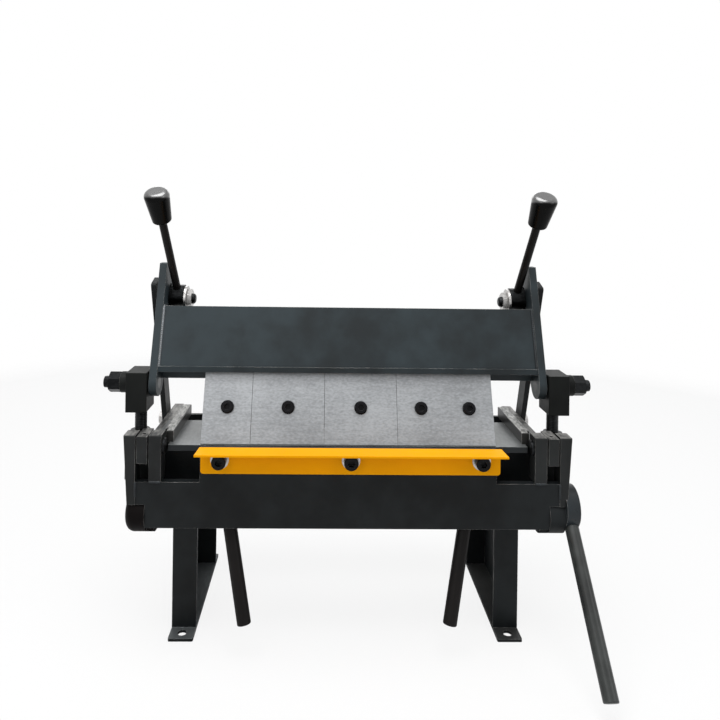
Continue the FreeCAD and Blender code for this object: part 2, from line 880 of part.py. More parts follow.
def hinge_bolt():
    """Round headed bolt on the bend line, through lug, ear and outer arm."""
    outer = outer_arm_inner + outer_arm_wall - hinge_end_recess
    head = rod_along_x(hinge_head_diameter, hinge_head_inner, inner_lug_inner, 0, 0)
    head = rounded(head, hinge_head_round, lambda edge, middle: middle.x < hinge_head_inner + same)
    return joined([head, rod_along_x(hinge_shank, inner_lug_inner, outer, 0, 0)])


def boss_bar(outer):
    return rod_along_x(2 * corner_boss_radius, corner_boss_inner, outer, corner_boss_y, corner_boss_z)


def left_boss_bar():
    bar = boss_bar(left_boss_outer)
    return rounded(bar, left_boss_round, lambda edge, middle: middle.x > left_boss_outer - same)


def corner_boss(boss):
    """Round boss behind the plate's lower corner, cut away where the plate and the arm are."""
    reach = corner_boss_radius + apron_depth
    plate_side = box(corner_boss_inner, apron_half, -reach, -apron_back, -reach - apron_depth, 0)
    arm_side = box(outer_arm_inner, corner_boss_outer, -arm_and_lug_half_depth, arm_and_lug_half_depth,
                   -apron_tab_bottom, 0)
    return boss.cut(plate_side).cut(apron_plate()).cut(arm_side).cut(apron_arm())


def handle_stub():
    return rod_along_x(handle_stub_diameter, corner_boss_outer - handle_stub_length, corner_boss_outer,
                       handle_hub_y, handle_hub_z)


def hub_disc():
    return rod_along_x(2 * handle_hub_radius, corner_boss_outer, corner_boss_outer + handle_hub_length,
                       handle_hub_y, handle_hub_z)


def on_bending_handle(along):
    middle = corner_boss_outer + handle_hub_length / 2
    start = point(middle, handle_hub_y, handle_hub_z)
    return start + lean_in_side_view(bending_handle_lean) * along


def handle_spigot():
    rim = handle_hub_radius
    return rod(handle_spigot_diameter, on_bending_handle(rim - bending_handle_seat), on_bending_handle(rim))


def handle_hub():
    """Disc on the right corner boss, with a stub into the boss and a bore for the handle."""
    outer = corner_boss_outer + handle_hub_length
    disc = rounded(hub_disc(), handle_hub_chamfer, lambda edge, middle: middle.x > outer - same)
    return joined([disc, handle_stub()]).cut(apron_arm()).cut(handle_spigot())


def bending_handle():
    """Long bar from the hub, with a thinner end inside it."""
    start = on_bending_handle(handle_hub_radius - handle_hub_chamfer)
    bar = rod(bending_handle_diameter, start, on_bending_handle(bending_handle_reach))
    end = on_bending_handle(bending_handle_reach)
    bar = rounded(bar, handle_end_chamfer, lambda edge, middle: ring_at(edge, end))
    return joined([bar.cut(hub_disc()), handle_spigot()])


def pull_handle():
    """Bar that leans forward and inward from its socket behind the plate."""
    start = point(pull_handle_x, pull_handle_y, -apron_depth)
    toe = -math.tan(math.radians(pull_handle_toe))
    lean = -math.tan(math.radians(pull_handle_lean))
    way = point(toe, lean, -1).normalize()
    end = start + way * pull_handle_below_plate
    bar = rod(pull_handle_diameter, start - way * pull_handle_seat, end)
    return rounded(bar, handle_end_chamfer, lambda edge, middle: ring_at(edge, end))


def handle_socket():
    """Block behind the plate, bored for a pull handle."""
    bottom = socket_edge_height - apron_depth
    rise = (bottom + socket_height / 2 + apron_depth)
    middle = pull_handle_x + rise * math.tan(math.radians(pull_handle_toe))
    block = box(middle - socket_width / 2, middle + socket_width / 2, -apron_back,
                socket_depth - apron_back, bottom, bottom + socket_height)
    block = rounded(block, socket_edge, lambda edge, middle: middle.y > socket_depth - apron_back - same)
    return block.cut(pull_handle())


def guard_screw_places():
    return [guard_shift + step * (guard_half - guard_screw_inset) for step in (-1, 0, 1)]


def guard_screws():
    y = apron_front() - guard_wall - guard_washer_wall
    return [socket_screw(guard_screw_shank, guard_screw_head, guard_screw_head_height,
                         point(x, y, -guard_screw_drop), along_y, guard_screw_length)
            for x in guard_screw_places()]


def guard_washers():
    y = apron_front() - guard_wall - guard_washer_wall
    return [washer(guard_washer_diameter, guard_screw_shank, guard_washer_wall,
                   point(x, y, -guard_screw_drop), along_y) for x in guard_screw_places()]


def guard_angle():
    """Guard on the apron's face; its lip stands out level with the bend line and widens to the front."""
    face, front = apron_front(), apron_front() - guard_wall
    low, under = guard_rise - guard_leg, guard_rise - guard_wall
    leg_half, tip_half = guard_half - guard_leg_inset, guard_half + guard_flare
    leg = box(-leg_half, leg_half, front, face, low, guard_rise)
    leg = rounded(leg, guard_corner, lambda edge, middle: runs_along(edge, along_y)
                  and middle.z < low + same)
    tip = face - guard_flange
    outline = [(-guard_half, face), (-tip_half, tip), (tip_half, tip), (guard_half, face)]
    angle = joined([leg, extrude_along_z(outline, under, guard_rise)])
    angle.translate(along_x * guard_shift)
    for x in guard_screw_places():
        hole = guard_screw_shank + bolt_hole_clearance
        angle = angle.cut(rod(hole, point(x, face, -guard_screw_drop), point(x, front, -guard_screw_drop)))
    return angle


# Writing the pieces in the finished frame
os.makedirs("parts", exist_ok=True)
middle_y = (foot_hole_y(-1) + foot_hole_y(1)) / 2


def save(name, shape):
    moved = shape.copy()
    moved.translate(point(0, -middle_y, bed_height))
    moved.exportStep("parts/" + name + ".step")
    print(name, len(moved.Solids), moved.isValid(), round(moved.Volume))


def save_pair(name, shape):
    save(name + "_right", shape)
    save(name + "_left", mirrored(shape))


def save_group(name, shapes):
    save(name, together(shapes))


def save_group_both_sides(name, shapes):
    save_group(name, shapes + [mirrored(shape) for shape in shapes])


for name, make in (("leg", leg), ("bed_rail", bed_rail), ("side_block", side_block), ("upright", upright),
                   ("pivot_block", pivot_block), ("beam_arm", beam_arm), ("cam_hub", cam_hub),
                   ("lever_rod", lever_rod), ("knob", knob), ("apron_arm", apron_arm),
                   ("apron_lug", apron_lug), ("pull_handle", pull_handle)):
    save_pair(name, make())

for name, make in (("bed_plate", bed_plate), ("bed_beam", bed_beam), ("rear_cross_plate", rear_cross_plate),
                   ("beam_plate", beam_plate), ("beam_sole", beam_sole), ("finger_rail", finger_rail),
                   ("apron_plate", apron_plate), ("handle_hub", handle_hub),
                   ("bending_handle", bending_handle), ("guard_angle", guard_angle)):
    save(name, make())

for number in range(len(finger_inches)):
    save("finger_" + str(number + 1), finger(number))

save("corner_boss_left", mirrored(corner_boss(left_boss_bar())))
save("corner_boss_right", corner_boss(boss_bar(corner_boss_outer)).cut(handle_stub()))

for name, make in (("adjusting_studs", adjusting_stud), ("stud_nuts", stud_nut), ("cam_pins", cam_pin_rod),
                   ("cam_spacers", cam_spacer), ("cam_washers", cam_washer), ("cam_nuts", cam_nut),
                   ("pivot_pins", pivot_pin), ("pivot_nuts", pivot_nut), ("hinge_bolts", hinge_bolt),
                   ("handle_sockets", handle_socket)):
    save_group_both_sides(name, [make()])

save_group_both_sides("leg_bolts", leg_bolts())
save_group_both_sides("upright_bolts", upright_bolts())
save_group_both_sides("frame_nuts", leg_nuts() + upright_nuts())
save_group("finger_screws", finger_screws())
save_group("guard_screws", guard_screws())
save_group("guard_washers", guard_washers())
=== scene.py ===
# %% [markdown]
# # Box and pan brake
# The machine bends sheet metal: fingers clamp the sheet on the bed, and the apron in front swings up.
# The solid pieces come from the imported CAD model. This notebook gives them their finishes, adds the
# small forms that catch the eye (weld beads and screw threads) and sets up the photo studio.

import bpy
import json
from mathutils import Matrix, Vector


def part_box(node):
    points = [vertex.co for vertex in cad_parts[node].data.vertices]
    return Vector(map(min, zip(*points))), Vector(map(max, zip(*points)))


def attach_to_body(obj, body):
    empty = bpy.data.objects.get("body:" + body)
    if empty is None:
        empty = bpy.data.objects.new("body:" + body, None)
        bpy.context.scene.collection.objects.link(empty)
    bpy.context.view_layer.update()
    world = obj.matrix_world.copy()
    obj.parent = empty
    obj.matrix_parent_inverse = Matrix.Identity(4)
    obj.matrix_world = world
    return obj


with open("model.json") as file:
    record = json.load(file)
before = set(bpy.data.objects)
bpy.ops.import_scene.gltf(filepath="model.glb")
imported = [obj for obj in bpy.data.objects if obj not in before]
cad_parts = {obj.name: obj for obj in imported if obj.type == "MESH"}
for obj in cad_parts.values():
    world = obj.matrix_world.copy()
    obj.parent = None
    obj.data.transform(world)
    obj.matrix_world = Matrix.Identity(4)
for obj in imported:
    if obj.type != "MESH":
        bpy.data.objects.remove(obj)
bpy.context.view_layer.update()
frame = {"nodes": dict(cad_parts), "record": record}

# %% [markdown]
# The record says which material slot each piece has. Random numbers come from one fixed seed, so
# every run draws the same ripples. Blender counts in metres, and small lengths are written in mm.

# %% Modules and shared values
import json
import math
import random

import bmesh
import bpy
from mathutils import Vector

random.seed(12)
scene = bpy.context.scene
slot_of = {part["node"]: part["material_slot"] for part in frame["record"]["subparts"]}
mm = 0.001
print("slots:", sorted(set(slot_of.values())))

# %% [markdown]
# ## Camera
# The photo was taken from in front by a level camera, a little left of the middle and 24 cm above
# the bed. Its vanishing point lies above the middle of the picture, so the picture is the lower part
# of a level shot. Tilting the camera down would make the upright lines meet. A level camera with a
# lens shift keeps them parallel, so that way was chosen. The beam's top edge falls about one degree
# to the right while the feet stand level, and a small turn and roll reproduce that.

# %% Camera that matches the photo
camera_roll = -0.0132
camera_turn = -0.0180
camera_data = bpy.data.cameras.new("camera")
camera_data.sensor_width = 36.0
camera_data.lens = 32.5
camera_data.shift_x = 0.0361
camera_data.shift_y = -0.2042
camera_data.dof.use_dof = False
camera = bpy.data.objects.new("camera", camera_data)
camera.location = (-0.0304, -0.7634, 0.4481)
camera.rotation_euler = (math.radians(90), camera_roll, camera_turn)
scene.collection.objects.link(camera)
scene.camera = camera
print("camera distance to the feet's middle", round(-camera.location.y, 3), "m")

# %% [markdown]
# ## Shader maths
# Most finishes need sums and products of noise values. Each sum could be wired by hand from Math
# nodes, which is hard to read. A small class wraps a socket instead, so that such sums look like
# ordinary arithmetic, and every operator adds one Math node.

# %% A socket that can be added and multiplied
class Value:
    def __init__(self, nodes, socket):
        self.nodes = nodes
        self.socket = socket

    def math(self, operation, first, second):
        node = self.nodes.node("ShaderNodeMath", {"operation": operation}, {0: first, 1: second})
        return Value(self.nodes, node.outputs[0])

    def __add__(self, other):
        return self.math("ADD", self, other)

    def __radd__(self, other):
        return self.math("ADD", other, self)

    def __sub__(self, other):
        return self.math("SUBTRACT", self, other)

    def __rsub__(self, other):
        return self.math("SUBTRACT", other, self)

    def __mul__(self, other):
        return self.math("MULTIPLY", self, other)

    def __rmul__(self, other):
        return self.math("MULTIPLY", other, self)

    def largest(self, other):
        return self.math("MAXIMUM", self, other)

    def between(self, low, high):
        settings = {"interpolation_type": "SMOOTHSTEP"}
        inputs = {"Value": self, "From Min": low, "From Max": high}
        return Value(self.nodes, self.nodes.node("ShaderNodeMapRange", settings, inputs).outputs[0])


# %% [markdown]
# ## Nodes
# Materials and the sky are both trees of nodes. Placing and linking every node in lines of its own
# hides the recipe, so one method takes a node's type, its settings and what goes into its sockets.

# %% A tree with one method for every node
class Nodes:
    def __init__(self, tree):
        self.tree = tree

    def put(self, value, socket):
        if isinstance(value, Value):
            self.tree.links.new(value.socket, socket)
        elif isinstance(value, bpy.types.NodeSocket):
            self.tree.links.new(value, socket)
        else:
            socket.default_value = value

    def node(self, kind, settings, inputs):
        made = self.tree.nodes.new(kind)
        for name, setting in settings.items():
            setattr(made, name, setting)
        for name, value in inputs.items():
            self.put(value, made.inputs[name])
        return made


# %% [markdown]
# ## A finish
# A finish is one material with helpers: noise in the piece's own metres, a colour mix, how far a
# face points up, how high a point lies, and an edge value that rises where two faces meet. Painted
# pictures would need unwrapped surfaces. Noise in the piece's own metres needs none, and it stays on
# the piece when the piece moves.

# %% The finish helper
steep_face = 0.75
flat_face = 0.97
usual_rounding = 0.4 * mm


class Finish(Nodes):
    def __init__(self, name, roughness, metallic=0.0):
        self.material = bpy.data.materials.new(name)
        self.material.use_nodes = True
        super().__init__(self.material.node_tree)
        self.shader = self.tree.nodes["Principled BSDF"]
        self.shader.inputs["Roughness"].default_value = roughness
        self.shader.inputs["Metallic"].default_value = metallic
        self.place = self.node("ShaderNodeTexCoord", {}, {}).outputs["Object"]

    def noise(self, scale, detail=3.0, stretch=(1, 1, 1), offset=0.0):
        moved = self.node("ShaderNodeMapping", {}, {"Vector": self.place, "Scale": stretch,
                                                    "Location": (offset, offset, offset)})
        inputs = {"Vector": moved.outputs[0], "Scale": scale, "Detail": detail}
        return Value(self, self.node("ShaderNodeTexNoise", {}, inputs).outputs["Fac"])

    def mix(self, amount, first, second):
        inputs = {0: amount, 6: first, 7: second}
        return self.node("ShaderNodeMix", {"data_type": "RGBA"}, inputs).outputs[2]

    def up_part(self, vector):
        return Value(self, self.node("ShaderNodeSeparateXYZ", {}, {0: vector}).outputs["Z"])

    def upward(self):
        facing = self.node("ShaderNodeTexCoord", {}, {}).outputs["Normal"]
        return self.up_part(facing).between(steep_face, flat_face)

    def height(self, low, high):
        return self.up_part(self.place).between(low, high)

    def soft_normal(self, radius):
        return self.node("ShaderNodeBevel", {"samples": 6}, {"Radius": radius}).outputs[0]

    def edge(self, radius):
        sharp_normal = self.node("ShaderNodeNewGeometry", {}, {}).outputs["Normal"]
        inputs = {0: self.soft_normal(radius), 1: sharp_normal}
        likeness = self.node("ShaderNodeVectorMath", {"operation": "DOT_PRODUCT"}, inputs)
        return 1.0 - Value(self, likeness.outputs["Value"])

    def bump(self, height, depth, rounding=usual_rounding):
        inputs = {"Height": height, "Distance": depth, "Strength": 1.0,
                  "Normal": self.soft_normal(rounding)}
        self.put(self.node("ShaderNodeBump", {}, inputs).outputs[0], self.shader.inputs["Normal"])

    def give(self, **inputs):
        for name, value in inputs.items():
            self.put(value, self.shader.inputs[name.replace("_", " ")])


# %% Colours as plain numbers
def grey(level, tint=0.0):
    return (level * (1 - tint), level, level * (1 + tint), 1)


def shaded(colour, factor, lift=0.0):
    return tuple(min(1.0, channel * factor + lift) for channel in colour[:3]) + (1,)


print("middle grey as a colour:", grey(0.5))

# %% [markdown]
# ## Painted steel
# The frame, the beam and the handles are mild steel with a satin grey-black sprayed coat.
# Sprayed paint has a fine orange peel and a slightly uneven tone and gloss, and it wears through on
# sharp edges. The edges could be worn by modelling the chips. Comparing the bevelled normal with the
# true one finds the edges without any geometry, and noise breaks the wear up. Faces that are rubbed
# in use get scratches where they point up, and on the legs these pale upward faces are also painted
# light.

# %% Paint
coat_dark = 0.55
coat_light = 1.55
chip_width = 0.9 * mm
chip_strength = 6.0
peel_depth = 0.06 * mm
bare_metal = (0.42, 0.41, 0.39, 1)


def painted(name, colour, roughness, wear, scale=1.0, metal=bare_metal,
            shine=0.28, rubbed_and_lit=0.0, scratched=1.0):
    finish = Finish(name, roughness)
    cloud = finish.noise(9 * scale, detail=4.0)
    fine = finish.noise(160 * scale, detail=2.0, offset=3.0)
    dust = finish.noise(38 * scale, detail=5.0, offset=7.0)
    smear = (cloud * 0.6 + dust * 0.4).between(0.36, 0.64)
    coat = finish.mix(smear, shaded(colour, coat_dark), shaded(colour, coat_light))
    chips = finish.edge(chip_width) * chip_strength * (dust - 0.12)
    bare_and_lit = chips.between(0.75 - wear, 1.35 - wear)
    if rubbed_and_lit:
        scratch = finish.noise(110 * scale, detail=4.0, stretch=(4, 1.0, 3), offset=11.0)
        patchy = (scratch * 0.7 + dust * 0.5).between(0.42, 0.78) * scratched + (1 - scratched)
        # Pale upward faces: rubbing, and on the legs also painted light.
        bare_and_lit = bare_and_lit.largest(finish.upward() * patchy * rubbed_and_lit)
    finish.give(Base_Color=finish.mix(bare_and_lit, coat, metal), Metallic=bare_and_lit * 0.8)
    finish.give(Roughness=(fine - 0.5) * 0.12 + (cloud - 0.5) * 0.2 + roughness)
    finish.shader.inputs["Specular IOR Level"].default_value = shine
    finish.bump(fine * 0.5 + dust * 0.35, peel_depth)
    return finish


# %% The four paints
frame_black = (0.0068, 0.0082, 0.0088, 1)
beam_grey = (0.0125, 0.0185, 0.0215, 1)
worn_black = (0.0105, 0.0115, 0.0115, 1)
handle_black = (0.0050, 0.0042, 0.0040, 1)
paints = {
    "body_paint": painted("body_paint", frame_black, roughness=0.46, wear=0.26, shine=0.15),
    "beam_paint": painted("beam_paint", beam_grey, roughness=0.46, wear=0.24, shine=0.26),
    "worn_paint": painted("worn_paint", worn_black, roughness=0.42, wear=0.38, shine=0.18,
                          rubbed_and_lit=0.55),
    "handle_paint": painted("handle_paint", handle_black, roughness=0.38, wear=0.20, shine=0.11),
}
print("paints:", list(paints))

# %% [markdown]
# ## Bare steel
# The fingers are bare ground steel. Washers, frame bolts and their nuts are zinc plated, and the
# pins, studs and cam hubs are dark. Grinding leaves fine lines along the face, and handling leaves
# soft cloudy marks. Real grooves would need far too many faces, so stretched noise sets the tone,
# the roughness and a shallow bump.

# %% Ground steel
groove_depth = 0.03 * mm
ground_rounding = 0.5 * mm


def ground_steel(name, dark, light, roughness, lines):
    finish = Finish(name, roughness, metallic=1.0)
    cloud = finish.noise(14, detail=5.0)
    streak = finish.noise(60, stretch=(0.6, 6, 6), offset=2.0)
    speck = finish.noise(620, stretch=(0.5, 1, 1), offset=5.0)
    tone = (cloud * 0.38 + streak * 0.18 + speck * 0.44).between(0.34, 0.66)
    finish.give(Base_Color=finish.mix(tone, dark, light))
    finish.give(Roughness=roughness + (cloud - 0.5) * 0.18 + (speck - 0.5) * 0.1)
    finish.bump(streak * lines + speck * 0.5, groove_depth, ground_rounding)
    return finish


# %% The three metals
metals = {
    "finger_steel": ground_steel("finger_steel", grey(0.215, 0.035), grey(0.335, 0.035),
                                 roughness=0.46, lines=1.0),
    "zinc_steel": ground_steel("zinc_steel", grey(0.34, -0.02), grey(0.52, -0.02),
                               roughness=0.30, lines=0.4),
    "dark_steel": ground_steel("dark_steel", grey(0.008, 0.05), grey(0.022, 0.05),
                               roughness=0.36, lines=0.5),
}
print("metals:", list(metals))

# %% [markdown]
# ## Yellow guard, black screws and knobs
# The guard is yellow, the one bright colour on the machine. The cap screws are black oxide, a thin
# dark layer on steel that rubs pale on the rims, and their pale rims also carry a painted glint. The
# knobs are moulded plastic. Each could have a recipe of its own, but all three are smooth skins, so
# one recipe with faint noise serves them.

# %% Smooth colours
rim_width = 0.6 * mm
rim_strength = 4.0
skin_depth = 0.02 * mm


def smooth(name, colour, roughness, shine, rim=0.01):
    finish = Finish(name, roughness)
    cloud = finish.noise(12, detail=4.0)
    fine = finish.noise(220, detail=2.0, offset=4.0)
    body = finish.mix(cloud.between(0.25, 0.75), shaded(colour, 0.9), colour)
    # Lighter rims: edge wear, and on the black screws also a painted glint.
    worn = (finish.edge(rim_width) * rim_strength * fine).between(0.5, 1.2)
    finish.give(Base_Color=finish.mix(worn, body, shaded(colour, 1.25, rim)))
    finish.give(Roughness=roughness + (fine - 0.5) * 0.06 + (cloud - 0.5) * 0.06)
    finish.shader.inputs["Specular IOR Level"].default_value = shine
    finish.bump(fine, skin_depth)
    return finish


# %% The three smooth colours
yellow = (0.90, 0.375, 0.0, 1)
oxide_black = (0.003, 0.003, 0.004, 1)
plastic_black = (0.003, 0.003, 0.003, 1)
colours = {
    "guard_yellow": smooth("guard_yellow", yellow, roughness=0.45, shine=0.05),
    # The black screws' pale rims are partly rub and partly a painted glint.
    "black_screw": smooth("black_screw", oxide_black, roughness=0.30, shine=0.12, rim=0.11),
    "knob_black": smooth("knob_black", plastic_black, roughness=0.20, shine=0.07),
}
print("smooth colours:", list(colours))

# %% [markdown]
# The top of each knob is polished by the palm. A second material on the dome would leave a hard
# border, so a clear coat fades in just under the dome and gives it that highlight.

# %% Polished knob tops
knob = colours["knob_black"]
knob_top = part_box("knob_left")[1].z
coat_starts = knob_top - 13.0 * mm
coat_is_full = knob_top - 10.0 * mm
knob.give(Coat_Weight=knob.height(coat_starts, coat_is_full))
knob.shader.inputs["Coat IOR"].default_value = 2.1
knob.shader.inputs["Coat Roughness"].default_value = 0.30
print("knob top at", round(knob_top, 4), "m")

# %% [markdown]
# ## Pieces with a finish of their own
# Some pieces share a slot but not a finish. The bed and its rails are rubbed bare by the sheets
# that slide over them. The pivot blocks are a deeper black than the frame. The left corner boss
# sits in shade under its outer arm, and its still deeper black is painted shade. The long handle is
# gripped all the time, and its lighter grey coat is partly grip wear and partly a painted sheen. The
# flat floors of the legs are paler than their walls, the left one most, partly from scuffing and
# partly as painted light. Each gets the paint recipe again with its own numbers, which is simpler
# than one recipe that asks which piece it is on.

# %% Finishes of single pieces
rail_wear = painted("rail_wear", (0.014, 0.014, 0.013, 1), roughness=0.36, wear=0.66, scale=2.2,
                    shine=0.30, metal=(0.48, 0.48, 0.46, 1), rubbed_and_lit=0.9)
block_paint = painted("block_paint", (0.0055, 0.0062, 0.0058, 1), roughness=0.44, wear=0.22,
                      shine=0.10)
special = {
    "bed_plate": painted("bed_wear", (0.009, 0.011, 0.012, 1), roughness=0.34, wear=0.20,
                         shine=0.20, metal=(0.20, 0.21, 0.21, 1), rubbed_and_lit=0.70, scratched=0.22),
    "bed_rail_left": rail_wear,
    "bed_rail_right": rail_wear,
    "pivot_block_left": block_paint,
    "pivot_block_right": block_paint,
    # The left corner boss's near-black is painted shade.
    "corner_boss_left": painted("boss_painted_shade", (0.0030, 0.0022, 0.0022, 1), roughness=0.44,
                                wear=0.10, shine=0.05),
    # The handle's lighter grey is partly grip wear and partly a painted sheen along it.
    "bending_handle": painted("handle_wear_and_sheen", (0.020, 0.0225, 0.0215, 1), roughness=0.34,
                              wear=0.30, scale=2.0, shine=0.34),
    "handle_hub": painted("hub_paint", (0.0090, 0.0125, 0.0150, 1), roughness=0.30, wear=0.24,
                          shine=0.30),
    # The left leg's paler floor is partly scuffing and partly painted light.
    "leg_left": painted("leg_wear_and_light", frame_black, roughness=0.46, wear=0.26, shine=0.15,
                        metal=(0.40, 0.43, 0.44, 1), rubbed_and_lit=0.29, scratched=0.25),
    "leg_right": painted("leg_paint", frame_black, roughness=0.46, wear=0.26, shine=0.15,
                         rubbed_and_lit=0.08, scratched=0.25),
}
print("pieces with a finish of their own:", list(special))

# %% [markdown]
# Each solid piece now takes its own finish if it has one, and otherwise the finish of its slot.
# The finishes could be given piece by piece, but a loop can't forget a piece.

# %% Give every CAD piece its finish
finishes = {**paints, **metals, **colours}
for name, piece in frame["nodes"].items():
    finish = special.get(name, finishes[slot_of[name]])
    piece.data.materials.clear()
    piece.data.materials.append(finish.material)
print("finished", len(frame["nodes"]), "pieces")

# %% [markdown]
# ## Round forms
# Weld beads and screw threads are both round forms whose radius changes on the way. A curve with a
# bevel can change its radius from point to point, but not round the shank as a thread needs. Rings
# of points with a radius for every point do both, with a skin from ring to ring. The form then
# rides on the body of the machine that it is part of.

# %% A ring of points, each with its own radius
def ring(centre, axis, radii):
    across = axis.orthogonal().normalized()
    up = axis.cross(across)
    turns = [2 * math.pi * k / len(radii) for k in range(len(radii))]
    return [centre + (across * math.cos(turn) + up * math.sin(turn)) * radius
            for turn, radius in zip(turns, radii)]


# %% A skin over the rings
def skin(name, rows):
    form = bmesh.new()
    rings = [[form.verts.new(point) for point in row] for row in rows]
    sides = len(rings[0])
    for low, high in zip(rings, rings[1:]):
        for k in range(sides):
            form.faces.new((low[k], low[(k + 1) % sides], high[(k + 1) % sides], high[k]))
    form.faces.new(rings[0][::-1])
    form.faces.new(rings[-1])
    bmesh.ops.recalc_face_normals(form, faces=form.faces)
    mesh = bpy.data.meshes.new(name)
    form.to_mesh(mesh)
    form.free()
    return mesh


# %% Put a mesh on a body of the machine
def attach(mesh, finish, body):
    made = bpy.data.objects.new(mesh.name, mesh)
    mesh.materials.append(finish.material)
    scene.collection.objects.link(made)
    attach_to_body(made, body)
    return made


# %% [markdown]
# ## Weld beads
# The beam plate is welded between its arms, and the lugs and arms are welded to the apron. A bead is
# a row of ripples where the puddle froze step by step. A bump on the paint would have no outline, so
# the bead is a form: its radius rises and falls along a path, and seeded random draws keep any two
# ripples from being equal. About half of it is sunk in the corner.

# %% Points along a path
def evenly(corners, step):
    points = []
    for start, end in zip(corners, corners[1:]):
        count = max(2, round((end - start).length / step))
        points += [start.lerp(end, i / count) for i in range(count)]
    return points + [corners[-1]]


# %% One weld bead
ripple = 2.1 * mm
steps_per_ripple = 6
fade_steps = 5
bead_sides = 10
puddle_edge = 0.86
puddle_swell = 0.22
puddle_chance = 0.10


def bead(name, corners, radius, body, finish):
    points = evenly(corners, ripple / steps_per_ripple)
    rows = []
    for i, centre in enumerate(points):
        along = points[min(i + 1, len(points) - 1)] - points[max(i - 1, 0)]
        swell = puddle_swell * math.sin(math.pi * ((i / steps_per_ripple) % 1.0))
        puddle = puddle_edge + swell + random.uniform(-puddle_chance, puddle_chance)
        end_fade = min(1.0, (i + 1.5) / fade_steps, (len(points) - i + 0.5) / fade_steps)
        rows.append(ring(centre, along.normalized(), [radius * puddle * end_fade] * bead_sides))
    mesh = skin(name, rows)
    for face in mesh.polygons:
        face.use_smooth = True
    return attach(mesh, finish, body)


# %% [markdown]
# The beam plate leans back with the arms. Its box gives the lowest and highest corner, and its wall
# and lean give the front corners between them. Each bead runs up the front edge and then over the
# plate's top, as a welder ends it. On the left the paint has chipped off, so it shines.

# %% Beads on the beam plate
beam_bead_radius = 1.5 * mm
sunk = 0.6 * mm
plate_wall = 8.0 * mm
plate_lean = math.radians(18.9)
wall_up = plate_wall * math.sin(plate_lean)
wall_back = plate_wall * math.cos(plate_lean)
plate_low, plate_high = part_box("beam_plate")
front_low = Vector((0, plate_low.y, plate_low.z + wall_up))
front_high = Vector((0, plate_high.y - wall_back, plate_high.z))
back_high = Vector((0, plate_high.y, plate_high.z - wall_up))
chipped = painted("chipped_weld", (0.030, 0.034, 0.038, 1), roughness=0.36, wear=0.98, scale=3.0,
                  metal=(0.42, 0.44, 0.46, 1))
covered = painted("covered_weld", (0.012, 0.015, 0.017, 1), roughness=0.40, wear=0.40, scale=3.0)
beads = []
for side, name, finish in ((-1, "left", chipped), (1, "right", covered)):
    seam = Vector((side * (plate_high.x - sunk), 0, 0))
    corners = [front_low + seam, front_high + seam, back_high + seam]
    beads.append(bead("weld_beam_" + name, corners, beam_bead_radius, "upper_beam", finish))
print("faces of the beam's beads:", [len(made.data.polygons) for made in beads])

# %% [markdown]
# On the apron a bead closes the foot of each inner lug, and one joins each outer arm to the plate.
# Both run along straight edges that the boxes of the pieces give.

# %% Beads on the apron
apron_bead_radius = 1.3 * mm
apron_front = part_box("apron_plate")[0].y
for side in ("left", "right"):
    lug_low, lug_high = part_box("apron_lug_" + side)
    corners = [Vector((x, apron_front, lug_low.z)) for x in (lug_low.x, lug_high.x)]
    beads.append(bead("weld_lug_" + side, corners, apron_bead_radius, "apron", covered))
    arm_low, arm_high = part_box("apron_arm_" + side)
    seam_x = arm_high.x if side == "left" else arm_low.x
    boss_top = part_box("corner_boss_" + side)[1].z
    corners = [Vector((seam_x, apron_front, z)) for z in (boss_top, lug_low.z)]
    beads.append(bead("weld_arm_" + side, corners, apron_bead_radius, "apron", covered))
print("beads made:", len(beads))

# %% [markdown]
# ## Screw threads
# The height studs and the pivot pins are threaded. A thread is one ridge wound round the shank, so
# the radius depends on the height and the angle together. A bump would leave the outline smooth,
# so the ridge is a form, and only the bare stretches get one.

# %% A thread round a shank
coarse_pitch = 1.75 * mm
rows_per_turn = 8
run_out_rows = 6
thread_sides = 32


def thread(name, start, end, root, ridge, body, slot):
    axis = (end - start).normalized()
    last = round((end - start).length / coarse_pitch * rows_per_turn)
    rows = []
    for row in range(last + 1):
        run_out = min(1.0, row / run_out_rows, (last - row) / run_out_rows)
        radii = []
        for k in range(thread_sides):
            phase = (row / rows_per_turn + k / thread_sides) % 1.0
            radii.append(root + ridge * (1 - abs(2 * phase - 1)) * run_out)
        rows.append(ring(start.lerp(end, row / last), axis, radii))
    return attach(skin(name, rows), finishes[slot], body)


# %% Threads on the studs and pins
shank = 6.0 * mm
stud_root = shank + 0.02 * mm
stud_ridge = 0.38 * mm
pin_root = shank - 0.05 * mm
pin_ridge = 0.35 * mm
pin_end_chamfer = 1.0 * mm
pin_low, pin_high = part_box("pivot_pins")
pin = Vector((0, (pin_low.y + pin_high.y) / 2, (pin_low.z + pin_high.z) / 2))
nuts_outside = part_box("pivot_nuts")[1].x
studs_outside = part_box("adjusting_studs")[1].x
stud_nut_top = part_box("stud_nuts")[1].z
threads = []
for side, name in ((-1, "left"), (1, "right")):
    block_low, block_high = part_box("pivot_block_" + name)
    stud = Vector((side * (studs_outside - shank), (block_low.y + block_high.y) / 2, 0))
    low = stud + Vector((0, 0, stud_nut_top))
    high = stud + Vector((0, 0, block_low.z))
    threads.append(thread("thread_stud_" + name, low, high, stud_root, stud_ridge,
                          "base", "dark_steel"))
    inner = pin + Vector((side * nuts_outside, 0, 0))
    outer = pin + Vector((side * (pin_high.x - pin_end_chamfer), 0, 0))
    threads.append(thread("thread_pin_" + name, inner, outer, pin_root, pin_ridge,
                          "upper_beam", "dark_steel"))
print("threads:", [made.name for made in threads])

# %% [markdown]
# ## Studio
# The photo is a cut-out on plain white with soft light from above and in front. More light on the
# machine would bleach its colours, so the white comes from the background itself. The floor is
# pale paper. Most of its colour for the camera comes from the white behind it, so the shadow under
# the feet stays faint.

